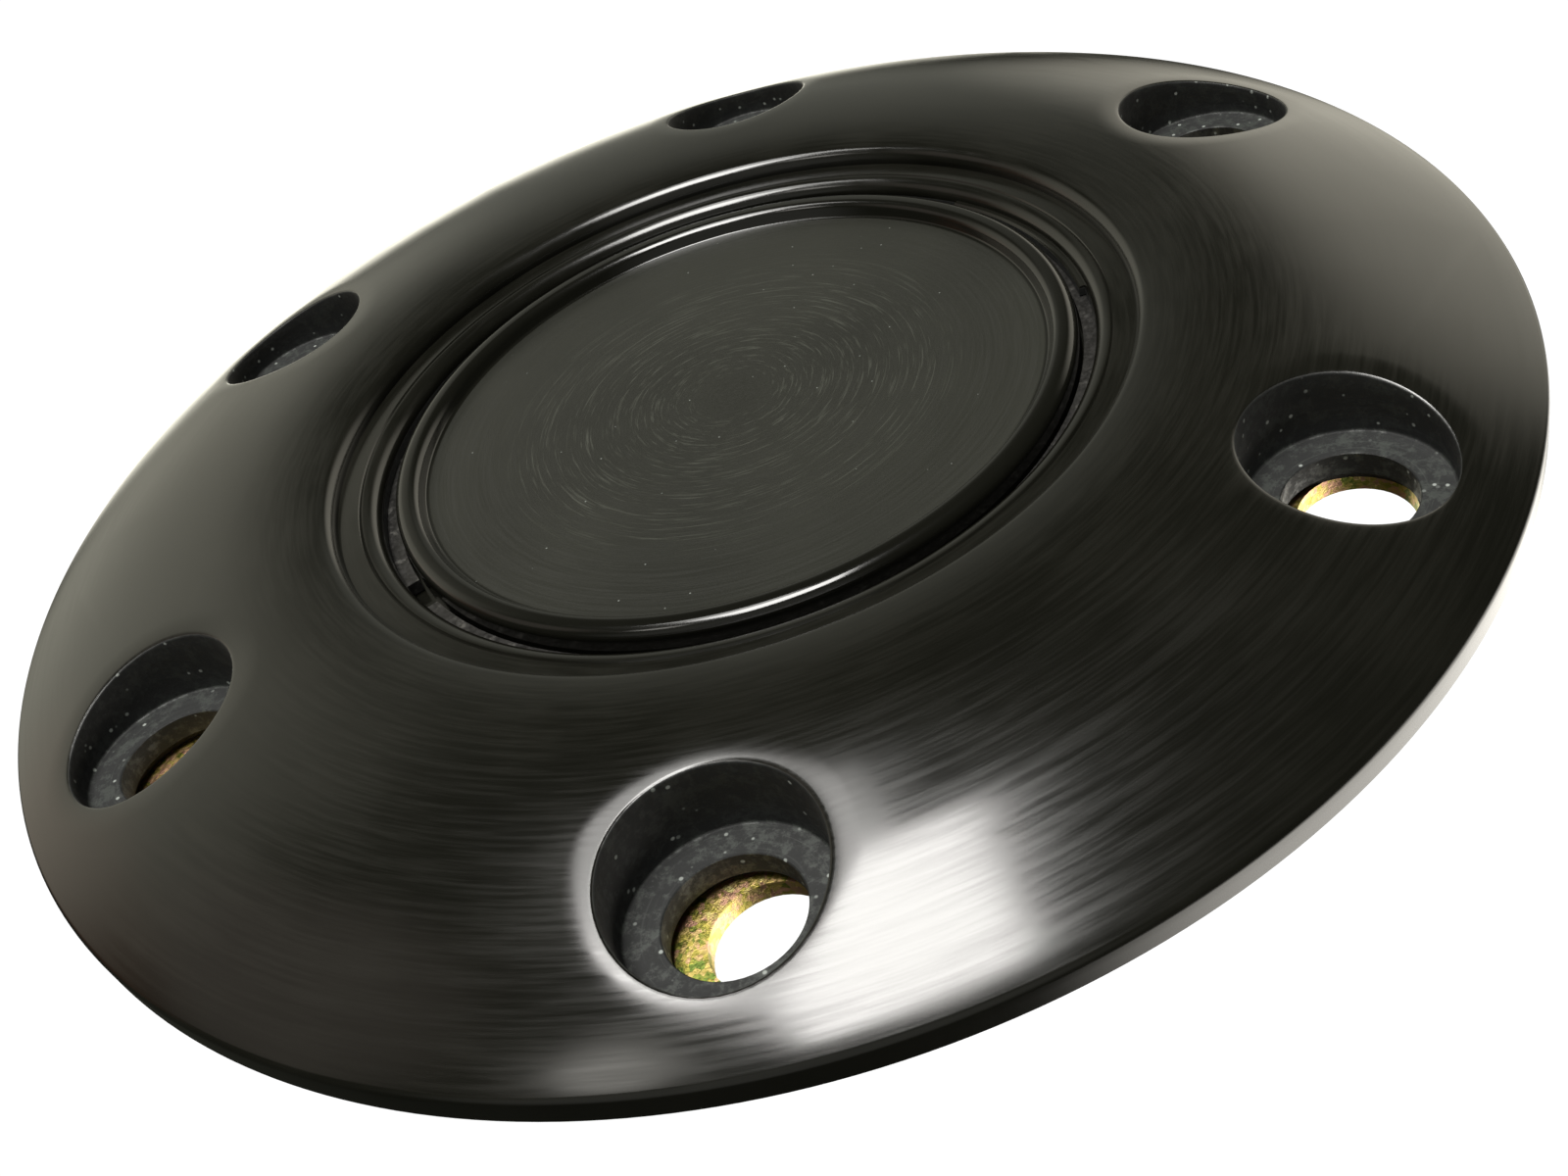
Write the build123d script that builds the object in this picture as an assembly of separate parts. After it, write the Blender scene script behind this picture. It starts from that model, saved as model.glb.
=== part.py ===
import os
from math import cos, radians, sin, sqrt

from build123d import *

os.makedirs("parts", exist_ok=True)

# A horn push for a six-bolt steering wheel. Millimetres, +Z towards the driver.
# The origin is the centre of the bolt circle, on the rear face of the base plate.

# bolt circle
bolt_count = 6
bolt_circle_radius = 35.0
first_bolt_angle = -90.0
plate_bolt_hole_radius = 2.9
ring_bolt_hole_radius = 3.25
counterbore_radius = 5.0
plate_turn = 1.75

# stack of flat layers, from the rear face forwards
plate_thickness = 1.0
gasket_thickness = 0.6
ring_back_z = plate_thickness + gasket_thickness
seat_thickness = 1.3
seat_z = ring_back_z + seat_thickness

# trim ring
rim_radius = 43.2
rim_height = 1.5
dome_rise = 4.1
crest_radius = 27.7
lip_radius = 23.05
recess_depth = 0.85
score_outer_radius = 21.85
score_inner_radius = 21.65
score_depth = 0.12
bore_radius = 20.75
bore_step_radius = 20.4
bore_step_z = 5.3
bore_step_start = 6.0
bore_step_sweep = 40.0
rim_round = 0.45
lip_round = 0.8
bore_round = 0.85
counterbore_round = 0.16
seat_round = 0.15

# circlip that holds the button, and its groove
clip_groove_radius = 21.5
clip_groove_z = 3.9
clip_groove_height = 0.8
clip_inner_radius = 20.0
clip_outer_radius = 21.42
clip_thickness = 0.7
clip_split_angle = -147.5
clip_split_width = 2.6
clip_split_depth = 6.0

# button
button_rim_radius = 19.85
button_rim_z = 6.0
button_rim_width = 1.35
button_face_depth = 0.8
button_step_width = 0.3
button_face_thickness = 1.8
button_shoulder_radius = 20.6
button_shoulder_z = 3.85
button_back_z = 1.2
button_skirt_radius = 17.6
button_rim_round = 0.6
button_face_round = 0.15
boss_radius = 2.3
boss_hole_radius = 1.25
boss_hole_top_z = 3.2

# lugs that stop the button turning, and their slots in the ring
lug_reach = 21.6
lug_width = 4.0
lug_height = 2.2
lug_overlap = 1.0
slot_clearance = 0.25

# base plate
plate_radius = 39.6
pan_radius = 22.2
pan_floor_z = -6.0
pan_bend = 0.8
pan_mouth_round = 0.5
flange_back_round = 0.3
spring_seat_radius = 1.75
spring_seat_height = 0.7
gasket_inner_radius = 22.6
gasket_bolt_hole_radius = 3.7

# screws that hold the plate to the ring
plate_screw_count = 3
plate_screw_circle = 28.6
first_plate_screw = 0.0
plate_screw_head_radius = 2.35
plate_screw_neck_radius = 1.3
plate_screw_radius = 1.2
plate_screw_tip_z = 5.0
cross_length = 2.6
cross_width = 0.55
cross_depth = 0.5

# contact plate under the button, its screws and contact points
mechanism_count = 3
contact_plate_radius = 19.6
contact_plate_thickness = 0.8
contact_plate_z = button_back_z - contact_plate_thickness
contact_plate_window = 4.5
boss_circle = 13.5
first_boss = 90.0
washer_radius = 2.3
washer_thickness = 0.4
washer_clearance = 0.1
washer_split = 0.5
contact_screw_head_radius = 2.1
contact_screw_head_height = 1.1
contact_screw_radius = 1.15
contact_screw_tip_z = 3.0
contact_screw_round = 0.5
slot_length = 5.0
slot_width = 0.6
slot_depth = 0.5
point_circle = 8.0
first_point = 30.0
point_radius = 1.5
point_height = 1.25
point_shank_radius = 0.8
point_tail_radius = 1.25
point_tail_height = 0.4
point_round = 0.6

# return springs
spring_circle = 14.8
first_spring = 30.0
spring_coil_radius = 2.3
spring_wire_radius = 0.3
spring_turns = 5

# fixed contact on its insulator
insulator_inner_radius = 4.2
insulator_outer_radius = 10.8
insulator_height = 3.0
fixed_contact_inner_radius = 5.2
fixed_contact_outer_radius = 10.2
fixed_contact_thickness = 0.6
rivet_circle = 7.6
rivet_radius = 1.1
rivet_head_radius = 1.9
rivet_head_height = 0.45
rivet_head_round = 0.3
rivet_clearance = 0.05
bush_neck_radius = 2.0
bush_flange_radius = 2.9
bush_flange_height = 0.6
bush_hole_clearance = 0.05

# blade terminals
blade_thickness = 0.8
blade_width = 6.3
blade_length = 8.0
blade_step = 2.0
blade_shank = 3.6
blade_hole_radius = 0.8
blade_chamfer = 0.9
earth_x = 14.0
earth_y = -1.0

pan_back_z = pan_floor_z - plate_thickness
ring_top_z = ring_back_z + rim_height + dome_rise
high = 20.0
joint_gap = 0.05


def on_circle(radius, angle):
    return radius * cos(radians(angle)), radius * sin(radians(angle))


def around(count, radius, first):
    return [on_circle(radius, first + 360 / count * turn) for turn in range(count)]


def tube(outer, inner, low, top):
    body = Pos(0, 0, low) * Cylinder(outer, top - low, align=(Align.CENTER, Align.CENTER, Align.MIN))
    if inner > 0:
        body -= Pos(0, 0, low) * Cylinder(inner, top - low, align=(Align.CENTER, Align.CENTER, Align.MIN))
    return body


def posts(places, radius, low, top):
    return [Pos(x, y, 0) * tube(radius, 0, low, top) for x, y in places]


def outline_face(points):
    return make_face(Polyline(*points, close=True))


def round_corners(face, rounds):
    for (x, y), size in rounds:
        corner = face.vertices().sort_by_distance((x, y, 0))[0]
        face = fillet(corner, size)
    return face


def turned(face):
    return revolve(Plane.XZ * face, Axis.Z)


def dome_radius():
    span = rim_radius - crest_radius
    return (dome_rise**2 + span**2) / (2 * dome_rise)


def dome_z(radius):
    drop = dome_radius() - sqrt(dome_radius()**2 - (radius - crest_radius)**2)
    return ring_top_z - drop


def ring_section():
    rim_top = ring_back_z + rim_height
    lip_z = dome_z(lip_radius)
    floor_z = lip_z - recess_depth
    dome = ThreePointArc((rim_radius, rim_top), (crest_radius, ring_top_z), (lip_radius, lip_z))
    inside = Polyline(
        (lip_radius, lip_z),
        (lip_radius, floor_z),
        (score_outer_radius, floor_z),
        ((score_outer_radius + score_inner_radius) / 2, floor_z - score_depth),
        (score_inner_radius, floor_z),
        (bore_radius, floor_z),
        (bore_radius, clip_groove_z + clip_groove_height),
        (clip_groove_radius, clip_groove_z + clip_groove_height),
        (clip_groove_radius, clip_groove_z),
        (bore_radius, clip_groove_z),
        (bore_radius, ring_back_z),
        (rim_radius, ring_back_z),
        (rim_radius, rim_top),
    )
    face = make_face(dome + inside)
    rounds = [
        ((rim_radius, rim_top), rim_round),
        ((lip_radius, lip_z), lip_round),
        ((bore_radius, floor_z), bore_round),
    ]
    return round_corners(face, rounds)


def bore_step():
    low = clip_groove_z + clip_groove_height
    section = outline_face([
        (bore_step_radius, low),
        (bore_radius + joint_gap, low),
        (bore_radius + joint_gap, bore_step_z),
        (bore_step_radius, bore_step_z),
    ])
    arc = revolve(Plane.XZ * section, Axis.Z, bore_step_sweep)
    return Rot(0, 0, bore_step_start) * arc


def lug_block(reach, width, low, top):
    block = Box(2 * reach, width, top - low, align=(Align.CENTER, Align.CENTER, Align.MIN))
    return (Pos(0, 0, low) * block) & tube(reach, button_shoulder_radius - lug_overlap, low, top)


def counterbore():
    bore = tube(counterbore_radius, 0, seat_z, high)
    return fillet(bore.edges().sort_by(Axis.Z)[0], seat_round)


def mouth_edge(ring, place):
    near = ring.edges().filter_by(lambda edge: edge.center().Z > seat_z + counterbore_round)
    return near.sort_by(lambda edge: (edge.center() - Vector(*place, ring_top_z)).length)[0]


def trim_ring():
    ring = turned(ring_section())
    ring += bore_step()
    bolts = around(bolt_count, bolt_circle_radius, first_bolt_angle)
    ring -= [Pos(x, y, 0) * counterbore() for x, y in bolts]
    ring = fillet([mouth_edge(ring, place) for place in bolts], counterbore_round)
    ring -= posts(bolts, ring_bolt_hole_radius, 0, high)
    screws = around(plate_screw_count, plate_screw_circle, first_plate_screw)
    ring -= posts(screws, plate_screw_radius + joint_gap, 0, plate_screw_tip_z + joint_gap)
    slot_top = button_back_z + lug_height + slot_clearance
    ring -= lug_block(lug_reach + slot_clearance, lug_width + 2 * slot_clearance, 0, slot_top)
    return ring


def retaining_ring():
    low = clip_groove_z + joint_gap
    clip = tube(clip_outer_radius, clip_inner_radius, low, low + clip_thickness)
    split = Pos(clip_outer_radius, 0, low) * Box(clip_split_depth, clip_split_width, high)
    return clip - Rot(0, 0, clip_split_angle) * split


def button_section():
    rim_inner = button_rim_radius - button_rim_width
    face_radius = rim_inner - button_step_width
    face_z = button_rim_z - button_face_depth
    face = outline_face([
        (0, face_z),
        (face_radius, face_z),
        (rim_inner, button_rim_z),
        (button_rim_radius, button_rim_z),
        (button_rim_radius, button_shoulder_z),
        (button_shoulder_radius, button_shoulder_z),
        (button_shoulder_radius, button_back_z),
        (button_skirt_radius, button_back_z),
        (button_skirt_radius, face_z - button_face_thickness),
        (0, face_z - button_face_thickness),
    ])
    rounds = [
        ((button_rim_radius, button_rim_z), button_rim_round),
        ((rim_inner, button_rim_z), button_rim_round),
        ((face_radius, face_z), button_face_round),
    ]
    return round_corners(face, rounds)


def horn_button():
    button = turned(button_section())
    face_back_z = button_rim_z - button_face_depth - button_face_thickness
    bosses = around(mechanism_count, boss_circle, first_boss)
    button += posts(bosses, boss_radius, button_back_z, face_back_z)
    button -= posts(bosses, boss_hole_radius, button_back_z, boss_hole_top_z)
    lugs = lug_block(lug_reach, lug_width, button_back_z, button_back_z + lug_height)
    return button + lugs


def plate_section():
    wall = pan_radius + plate_thickness
    face = outline_face([
        (0, pan_back_z),
        (wall, pan_back_z),
        (wall, 0),
        (plate_radius, 0),
        (plate_radius, plate_thickness),
        (pan_radius, plate_thickness),
        (pan_radius, pan_floor_z),
        (0, pan_floor_z),
    ])
    rounds = [
        ((wall, pan_back_z), pan_bend + plate_thickness),
        ((wall, 0), flange_back_round),
        ((pan_radius, plate_thickness), pan_mouth_round),
        ((pan_radius, pan_floor_z), pan_bend),
    ]
    return round_corners(face, rounds)


def base_plate():
    plate = turned(plate_section())
    springs = around(mechanism_count, spring_circle, first_spring)
    plate += posts(springs, spring_seat_radius, pan_floor_z, pan_floor_z + spring_seat_height)
    bolts = around(bolt_count, bolt_circle_radius, first_bolt_angle + plate_turn)
    plate -= posts(bolts, plate_bolt_hole_radius, pan_back_z, high)
    for x, y in around(plate_screw_count, plate_screw_circle, first_plate_screw):
        sink = Cone(
            plate_screw_head_radius + joint_gap,
            plate_screw_neck_radius + joint_gap,
            plate_thickness,
            align=(Align.CENTER, Align.CENTER, Align.MIN))
        plate -= Pos(x, y, 0) * sink
    rivets = around(mechanism_count, rivet_circle, first_boss)
    plate -= posts(rivets, bush_neck_radius + bush_hole_clearance, -high, pan_floor_z)
    plate -= posts([(earth_x, earth_y)], rivet_radius + rivet_clearance, -high, pan_floor_z)
    return plate


def insulating_gasket():
    gasket = tube(plate_radius, gasket_inner_radius, plate_thickness, ring_back_z)
    bolts = around(bolt_count, bolt_circle_radius, first_bolt_angle)
    gasket -= posts(bolts, gasket_bolt_hole_radius, 0, high)
    screws = around(plate_screw_count, plate_screw_circle, first_plate_screw)
    gasket -= posts(screws, plate_screw_neck_radius + joint_gap, 0, high)
    return gasket


def plate_screw():
    head = Cone(
        plate_screw_head_radius,
        plate_screw_neck_radius,
        plate_thickness,
        align=(Align.CENTER, Align.CENTER, Align.MIN))
    shank = tube(plate_screw_radius, 0, plate_thickness, plate_screw_tip_z)
    screw = head + shank
    for turn in (0, 90):
        arm = Box(cross_length, cross_width, cross_depth, align=(Align.CENTER, Align.CENTER, Align.MIN))
        screw -= Rot(0, 0, turn) * arm
    return screw


def plate_screws():
    places = around(plate_screw_count, plate_screw_circle, first_plate_screw)
    return Compound(children=[Pos(x, y, 0) * plate_screw() for x, y in places])


def contact_plate():
    plate = tube(contact_plate_radius, contact_plate_window, contact_plate_z, button_back_z)
    plate -= posts(around(mechanism_count, boss_circle, first_boss), boss_hole_radius, -high, high)
    points = around(mechanism_count, point_circle, first_point)
    return plate - posts(points, point_shank_radius + rivet_clearance, -high, high)


def contact_plate_screw():
    top = contact_plate_z - washer_thickness
    head = tube(contact_screw_head_radius, 0, top - contact_screw_head_height, top)
    head = fillet(head.edges().sort_by(Axis.Z)[0], contact_screw_round)
    screw = head + tube(contact_screw_radius, 0, top, contact_screw_tip_z)
    slot = Pos(0, 0, top - contact_screw_head_height) * Box(slot_length, slot_width, 2 * slot_depth)
    return screw - slot


def contact_plate_screws():
    places = around(mechanism_count, boss_circle, first_boss)
    return Compound(children=[Pos(x, y, 0) * contact_plate_screw() for x, y in places])


def lock_washers():
    low = contact_plate_z - washer_thickness
    washer = tube(washer_radius, contact_screw_radius + washer_clearance, low, contact_plate_z)
    washer -= Pos(washer_radius, 0, low) * Box(2 * washer_radius, washer_split, high)
    places = around(mechanism_count, boss_circle, first_boss)
    return Compound(children=[Pos(x, y, 0) * washer for x, y in places])


def contact_point():
    head = tube(point_radius, 0, contact_plate_z - point_height, contact_plate_z)
    head = fillet(head.edges().sort_by(Axis.Z)[0], point_round)
    shank = tube(point_shank_radius, 0, contact_plate_z, button_back_z)
    tail = tube(point_tail_radius, 0, button_back_z, button_back_z + point_tail_height)
    return head + shank + tail


def contact_points():
    places = around(mechanism_count, point_circle, first_point)
    return Compound(children=[Pos(x, y, 0) * contact_point() for x, y in places])


def return_spring():
    low = pan_floor_z + spring_wire_radius + joint_gap
    rise = contact_plate_z - spring_wire_radius - joint_gap - low
    path = Helix(rise / spring_turns, rise, spring_coil_radius)
    wire = sweep(Plane(path @ 0, z_dir=path % 0) * Circle(spring_wire_radius), path)
    return Pos(0, 0, low) * wire


def contact_insulator():
    low = pan_floor_z
    body = tube(insulator_outer_radius, insulator_inner_radius, low, low + insulator_height)
    rivets = around(mechanism_count, rivet_circle, first_boss)
    return body - posts(rivets, rivet_radius + rivet_clearance, low, high)


def fixed_contact():
    low = pan_floor_z + insulator_height
    disc = tube(fixed_contact_outer_radius, fixed_contact_inner_radius, low, low + fixed_contact_thickness)
    rivets = around(mechanism_count, rivet_circle, first_boss)
    return disc - posts(rivets, rivet_radius + rivet_clearance, -high, high)


def rivet(head_z, tail_z):
    shank = tube(rivet_radius, 0, tail_z, head_z)
    head = tube(rivet_head_radius, 0, head_z, head_z + rivet_head_height)
    head = fillet(head.edges().sort_by(Axis.Z)[-1], rivet_head_round)
    tail = tube(rivet_head_radius, 0, tail_z - rivet_head_height, tail_z)
    tail = fillet(tail.edges().sort_by(Axis.Z)[0], rivet_head_round)
    return shank + head + tail


def contact_rivets():
    head_z = pan_floor_z + insulator_height + fixed_contact_thickness
    bush_back_z = pan_back_z - bush_flange_height
    rivets = []
    for number, (x, y) in enumerate(around(mechanism_count, rivet_circle, first_boss)):
        tail_z = bush_back_z - blade_thickness if number == 0 else bush_back_z
        rivets.append(Pos(x, y, 0) * rivet(head_z, tail_z))
    return Compound(children=rivets)


def rivet_bushes():
    hole = rivet_radius + rivet_clearance
    neck = tube(bush_neck_radius, hole, pan_back_z, pan_floor_z)
    flange = tube(bush_flange_radius, hole, pan_back_z - bush_flange_height, pan_back_z)
    bush = neck + flange
    places = around(mechanism_count, rivet_circle, first_boss)
    return Compound(children=[Pos(x, y, 0) * bush for x, y in places])


def blade_terminal(top_z):
    low_z = top_z - blade_step
    tip = blade_shank + blade_step + blade_length
    side = outline_face([
        (-blade_width / 2, top_z),
        (blade_shank, top_z),
        (blade_shank + blade_step, low_z),
        (tip, low_z),
        (tip, low_z - blade_thickness),
        (blade_shank + blade_step - blade_thickness / 2, low_z - blade_thickness),
        (blade_shank - blade_thickness / 2, top_z - blade_thickness),
        (-blade_width / 2, top_z - blade_thickness),
    ])
    blade = extrude(Plane.YZ * side, blade_width / 2, both=True)
    plan = Rectangle(blade_width, tip, align=(Align.CENTER, Align.MIN))
    plan = chamfer(plan.vertices().group_by(Axis.Y)[-1], blade_chamfer)
    plan += Circle(blade_width / 2)
    blade &= Pos(0, 0, low_z - high) * extrude(plan, 2 * high)
    blade -= Pos(0, tip - blade_length / 2, 0) * tube(blade_hole_radius, 0, -high, 0)
    return blade - tube(rivet_radius + rivet_clearance, 0, -high, 0)


def live_terminal():
    return Pos(0, rivet_circle, 0) * blade_terminal(pan_back_z - bush_flange_height)


def earth_terminal():
    return Pos(earth_x, earth_y, 0) * blade_terminal(pan_back_z)


def earth_rivet():
    return Pos(earth_x, earth_y, 0) * rivet(pan_floor_z, pan_back_z - blade_thickness)


def write(name, body):
    export_step(body, f"parts/{name}.step")


write("trim_ring", trim_ring())
write("retaining_ring", retaining_ring())
write("insulating_gasket", insulating_gasket())
write("base_plate", base_plate())
write("plate_screws", plate_screws())
write("horn_button", horn_button())
write("contact_plate", contact_plate())
write("contact_plate_screws", contact_plate_screws())
write("lock_washers", lock_washers())
write("contact_points", contact_points())
write("contact_insulator", contact_insulator())
write("fixed_contact", fixed_contact())
write("contact_rivets", contact_rivets())
write("rivet_bushes", rivet_bushes())
write("live_terminal", live_terminal())
write("earth_terminal", earth_terminal())
write("earth_rivet", earth_rivet())
for number, (x, y) in enumerate(around(mechanism_count, spring_circle, first_spring), start=1):
    write(f"return_spring_{number}", Pos(x, y, 0) * return_spring())
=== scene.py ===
import math

import bmesh
import bpy
from mathutils import Matrix, Vector


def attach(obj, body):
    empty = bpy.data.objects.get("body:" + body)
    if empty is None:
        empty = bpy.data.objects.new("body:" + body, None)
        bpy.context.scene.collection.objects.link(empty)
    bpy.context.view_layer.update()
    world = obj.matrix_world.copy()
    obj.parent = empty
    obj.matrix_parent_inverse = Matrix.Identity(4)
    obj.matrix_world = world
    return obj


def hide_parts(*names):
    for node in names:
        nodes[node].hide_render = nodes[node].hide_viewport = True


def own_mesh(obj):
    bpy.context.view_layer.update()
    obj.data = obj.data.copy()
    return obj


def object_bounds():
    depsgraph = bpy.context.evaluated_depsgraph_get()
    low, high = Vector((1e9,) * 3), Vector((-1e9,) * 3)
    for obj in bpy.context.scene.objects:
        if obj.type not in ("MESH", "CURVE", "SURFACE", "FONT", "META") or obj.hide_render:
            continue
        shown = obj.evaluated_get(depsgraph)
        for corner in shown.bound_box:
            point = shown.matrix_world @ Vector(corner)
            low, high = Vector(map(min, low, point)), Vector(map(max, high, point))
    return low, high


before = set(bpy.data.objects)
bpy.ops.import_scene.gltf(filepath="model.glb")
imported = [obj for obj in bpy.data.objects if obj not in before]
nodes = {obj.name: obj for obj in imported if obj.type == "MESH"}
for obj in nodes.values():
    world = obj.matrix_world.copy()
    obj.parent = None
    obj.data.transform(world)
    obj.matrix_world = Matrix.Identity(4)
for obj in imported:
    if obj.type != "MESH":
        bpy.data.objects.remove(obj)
cadBox = [list(corner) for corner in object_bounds()]
mm = 0.001


class Wire:
    # one socket of a node tree, used like a number
    def __init__(self, tree, socket=None):
        self.tree = tree
        self.socket = socket

    def node(self, kind, settings=None, inputs=None, output=0):
        made = self.tree.nodes.new(kind)
        for name, value in (settings or {}).items():
            if name == "stops":
                self.fillRamp(made.color_ramp, value)
            else:
                setattr(made, name, value)
        for name, value in (inputs or {}).items():
            if isinstance(value, Wire):
                self.tree.links.new(value.socket, made.inputs[name])
            else:
                made.inputs[name].default_value = value
        return Wire(self.tree, made.outputs[output] if len(made.outputs) else None)

    def fillRamp(self, ramp, stops):
        while len(ramp.elements) < len(stops):
            ramp.elements.new(0.5)
        for element, (position, colour) in zip(ramp.elements, stops):
            element.position = position
            element.color = colour if len(colour) == 4 else (*colour, 1)

    def maths(self, operation, *values):
        return self.node("ShaderNodeMath", {"operation": operation}, dict(enumerate(values)))

    def __add__(self, other):
        return self.maths("ADD", self, other)

    def __radd__(self, other):
        return self.maths("ADD", other, self)

    def __sub__(self, other):
        return self.maths("SUBTRACT", self, other)

    def __rsub__(self, other):
        return self.maths("SUBTRACT", other, self)

    def __mul__(self, other):
        return self.maths("MULTIPLY", self, other)

    def __rmul__(self, other):
        return self.maths("MULTIPLY", other, self)

    def __truediv__(self, other):
        return self.maths("DIVIDE", self, other)

    def root(self):
        return self.maths("SQRT", self)

    def scaled(self, factor):
        inputs = {"Vector": self, "Scale": factor}
        return self.node("ShaderNodeVectorMath", {"operation": "SCALE"}, inputs)

    def part(self, axis):
        return self.node("ShaderNodeSeparateXYZ", None, {"Vector": self}, axis)

    def joined(self, x, y, z):
        return self.node("ShaderNodeCombineXYZ", None, {"X": x, "Y": y, "Z": z})

    def step(self, low, high, fromValue=0.0, toValue=1.0):
        return self.node("ShaderNodeMapRange", {"interpolation_type": "SMOOTHSTEP"}, {
            "Value": self, "From Min": low, "From Max": high, "To Min": fromValue, "To Max": toValue})

    def noise(self, scale, detail=2.0, roughness=0.5):
        return self.node("ShaderNodeTexNoise", None, {
            "Vector": self, "Scale": scale, "Detail": detail, "Roughness": roughness})

    def cells(self, scale, output="Distance"):
        return self.node("ShaderNodeTexVoronoi", None, {"Vector": self, "Scale": scale}, output)

    def ramp(self, *stops):
        return self.node("ShaderNodeValToRGB", {"stops": stops}, {"Fac": self})

    def blend(self, first, second):
        # self is how much of the second colour there is
        return self.node("ShaderNodeMix", {"data_type": "RGBA"}, {0: self, 6: first, 7: second}, 2)


def colour(red, green, blue):
    return (red, green, blue, 1)


def newMaterial(name):
    material = bpy.data.materials.new(name)
    material.use_nodes = True
    material.node_tree.nodes.clear()
    blank = Wire(material.node_tree)
    place = blank.node("ShaderNodeTexCoord", None, None, "Object")
    return material, place.scaled(1 / mm)


def finished(material, place, **sockets):
    names = {
        "base": "Base Color", "rough": "Roughness", "metal": "Metallic", "ior": "IOR", "normal": "Normal",
    }
    inputs = {names[short]: value for short, value in sockets.items()}
    shader = place.node("ShaderNodeBsdfPrincipled", None, inputs)
    place.node("ShaderNodeOutputMaterial", None, {"Surface": shader})
    return material


# the black plastic of the ring and the button; lengths in millimetres
plastic = {
    "body": colour(0.0036, 0.0036, 0.0026),
    "bodyPale": colour(0.0060, 0.0059, 0.0044),
    "machined": colour(0.0020, 0.0026, 0.0024),
    "machinedPale": colour(0.0300, 0.0340, 0.0300),
    "dust": colour(0.26, 0.28, 0.26),
    "roughLow": 0.13, "roughHigh": 0.2, "scratch": 0.00034,
}
# where the ring's milled surfaces begin, and the button's turned face
ring = {
    "bolts": 6, "boltCircle": 35.0, "counterbore": 5.06, "seatTop": 3.1,
    "bore": 20.9, "boreTop": 5.1,
}
button = {
    "faceRadius": 18.0, "faceZ": 5.3,
    "faceDark": colour(0.0078, 0.0081, 0.0060), "facePale": colour(0.0130, 0.0134, 0.0102),
    # colour of the face's pale arcs: worn turning marks and a painted sheen along them
    "faceWornAndSheen": colour(0.044, 0.046, 0.038),
}


def boltDistance(place):
    # distance from the nearest bolt's axis, with the six sectors folded onto one
    x, y = place.part(0), place.part(1)
    radius = (x * x + y * y).root()
    sector = 2 * math.pi / ring["bolts"]
    angle = y.maths("ARCTAN2", y, x)
    folded = angle.maths("PINGPONG", angle + math.pi / 2, sector / 2)
    across = radius * folded.maths("SINE", folded)
    along = radius * folded.maths("COSINE", folded) - ring["boltCircle"]
    return (across * across + along * along).root()


def aroundAxis(place):
    x, y, z = place.part(0), place.part(1), place.part(2)
    radius = (x * x + y * y).root()
    return x / (radius + 0.001), y / (radius + 0.001), z, radius


def bump(height, depth, strength=1.0):
    inputs = {"Strength": strength, "Distance": depth, "Height": height}
    return height.node("ShaderNodeBump", None, inputs)


def dustSpecks(place, scale, share, size):
    # a few pale grains, each a random cell of a fine pattern
    grain = place.cells(scale)
    pick = place.cells(scale, "Color").part(0)
    return grain.step(size, size * 0.5, 0.0, 1.0) * pick.step(share, share * 0.6, 0.0, 1.0)


def lappedPlastic():
    # the ring's dome, lapped round and round, with milled holes
    material, place = newMaterial("lappedPlastic")
    cosine, sine, z, radius = aroundAxis(place)
    streaks = place.joined(cosine * 6, sine * 6, radius * 4.5).noise(1.0, 4.0, 0.6)
    hair = place.joined(cosine * 11, sine * 11, radius * 16).noise(1.0, 2.0, 0.6)
    cloud = place.noise(0.12, 3.0, 0.5)
    hole = boltDistance(place)
    edge = ring["counterbore"]
    inHole = hole.step(edge + 0.03, edge - 0.05) * radius.step(24, 25)
    back = z.step(ring["seatTop"], ring["seatTop"] - 0.05) * radius.step(43, 42.8)
    inBore = radius.step(ring["bore"] + 0.05, ring["bore"])
    inBore = inBore * z.step(ring["boreTop"] + 0.1, ring["boreTop"])
    milled = inHole.maths("MAXIMUM", inHole, back.maths("MAXIMUM", back, inBore))
    toolMarks = place.joined(hole * 5, z * 7, cosine * 3).noise(1.0, 3.0, 0.6)
    mottled = place.noise(1.3, 6.0, 0.75)
    scuffed = place.joined(hole * 7, cosine * 14, sine * 14).noise(1.0, 4.0, 0.7)
    onSeat = z.step(3.2, 2.95)
    dust = dustSpecks(place, 1.5, 0.45, 0.2) * inHole * 0.8
    tone = (streaks * 0.5 + cloud * 0.5).step(0.35, 0.65)
    base = tone.blend(plastic["body"], plastic["bodyPale"])
    worn = mottled.step(0.46, 0.62) * (0.3 + onSeat * inHole * 0.5)
    worn = worn + scuffed.step(0.56, 0.7) * onSeat * 0.5
    milledBase = worn.blend(plastic["machined"], plastic["machinedPale"])
    base = dust.blend(milled.blend(base, milledBase), plastic["dust"])
    rough = streaks.step(0.3, 0.7, plastic["roughLow"], plastic["roughHigh"])
    rough = rough + cloud.step(0.4, 0.7, 0.0, 0.03)
    rough = rough + milled * (0.72 - worn * 0.27 - rough)
    height = (streaks * 0.6 + hair * 0.4) * plastic["scratch"]
    height = height + milled * (toolMarks * 0.008 + mottled * 0.035 - height)
    return finished(material, place, base=base, rough=rough, normal=bump(height, mm), ior=1.5)


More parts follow.
